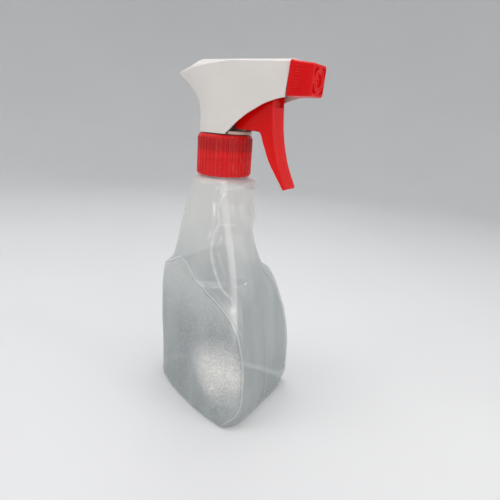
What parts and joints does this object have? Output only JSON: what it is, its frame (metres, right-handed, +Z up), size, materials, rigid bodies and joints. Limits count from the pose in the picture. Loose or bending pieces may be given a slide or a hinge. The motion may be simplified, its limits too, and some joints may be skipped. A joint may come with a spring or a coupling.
{
  "type": "trigger spray bottle",
  "caption": "Translucent hand spray bottle with finger grip, ribbed screw collar, covered trigger pump, square twist nozzle and dip tube",
  "frame": {"origin": "on the neck axis, in the plane of the flat underside of the base", "axes": "+Z up along the neck axis, +X the way the nozzle sprays, +Y to the left of the spray direction"},
  "size_m": [0.1047, 0.0728, 0.2189],
  "materials": {
    "milky_hdpe": "translucent natural HDPE, satin, with a pebbled grain on the side panels",
    "collar_red": "slightly translucent red polypropylene",
    "nozzle_red": "opaque red polypropylene",
    "trigger_red": "opaque red polypropylene, satin gloss",
    "shroud_white": "warm off-white polypropylene, satin",
    "pump_beige": "beige polypropylene",
    "inner_white": "white polyethylene",
    "tube_clear": "translucent polyethylene tube",
    "seal_rubber": "dark elastomer",
    "spring_steel": "bright stainless wire and ball"
  },
  "bodies": {
    "bottle": {"bottle": "milky_hdpe"},
    "head": {"pump_body": "pump_beige", "shroud": "shroud_white", "tube_retainer": "pump_beige", "dip_tube": "tube_clear", "mouth_gasket": "seal_rubber", "vent_plug": "seal_rubber", "passage_plug": "pump_beige", "return_spring": "spring_steel", "outlet_spring": "spring_steel", "swirl_core": "inner_white", "nozzle_seal": "seal_rubber"},
    "collar": {"closure_collar": "collar_red"},
    "trigger": {"trigger": "trigger_red"},
    "piston": {"pump_piston": "inner_white", "piston_seal": "seal_rubber"},
    "nozzle": {"nozzle": "nozzle_red"},
    "inlet_valve": {"inlet_ball": "spring_steel"},
    "outlet_valve": {"outlet_valve": "seal_rubber"}
  },
  "joints": [
    {"name": "head_rise", "type": "slide", "parent": "bottle", "child": "head", "axis": [0, 0, 1], "range_m": [0, 0.00528]},
    {"name": "collar_turn", "type": "hinge", "parent": "head", "child": "collar", "pos_m": [0, 0, 0.152], "axis": [0, 0, 1], "range_deg": [0, 450]},
    {"name": "trigger_pull", "type": "hinge", "parent": "head", "child": "trigger", "pos_m": [0.0326, 0, 0.2015], "axis": [0, 1, 0], "range_deg": [0, 18], "stiffness_Nm_per_rad": 1.2, "springref_deg": -17.19},
    {"name": "piston_stroke", "type": "slide", "parent": "head", "child": "piston", "axis": [-1, 0, 0], "range_m": [0, 0.0047], "deforming": ["return_spring"]},
    {"name": "nozzle_turn", "type": "hinge", "parent": "head", "child": "nozzle", "pos_m": [0.0444, 0, 0.2085], "axis": [0.9988, 0, -0.0489], "continuous": true},
    {"name": "inlet_ball_lift", "type": "slide", "parent": "head", "child": "inlet_valve", "axis": [0, 0, 1], "range_m": [0, 0.0012]},
    {"name": "outlet_valve_lift", "type": "slide", "parent": "head", "child": "outlet_valve", "axis": [0.9988, 0, -0.0489], "range_m": [0, 0.0008], "stiffness_N_per_m": 200, "springref_m": -0.002, "deforming": ["outlet_spring"]}
  ],
  "couplings": [
    {"joint": "collar_turn", "follows": "head_rise", "rad_per_m": 1485.4},
    {"joint": "trigger_pull", "follows": "piston_stroke", "rad_per_m": 66.667}
  ]
}
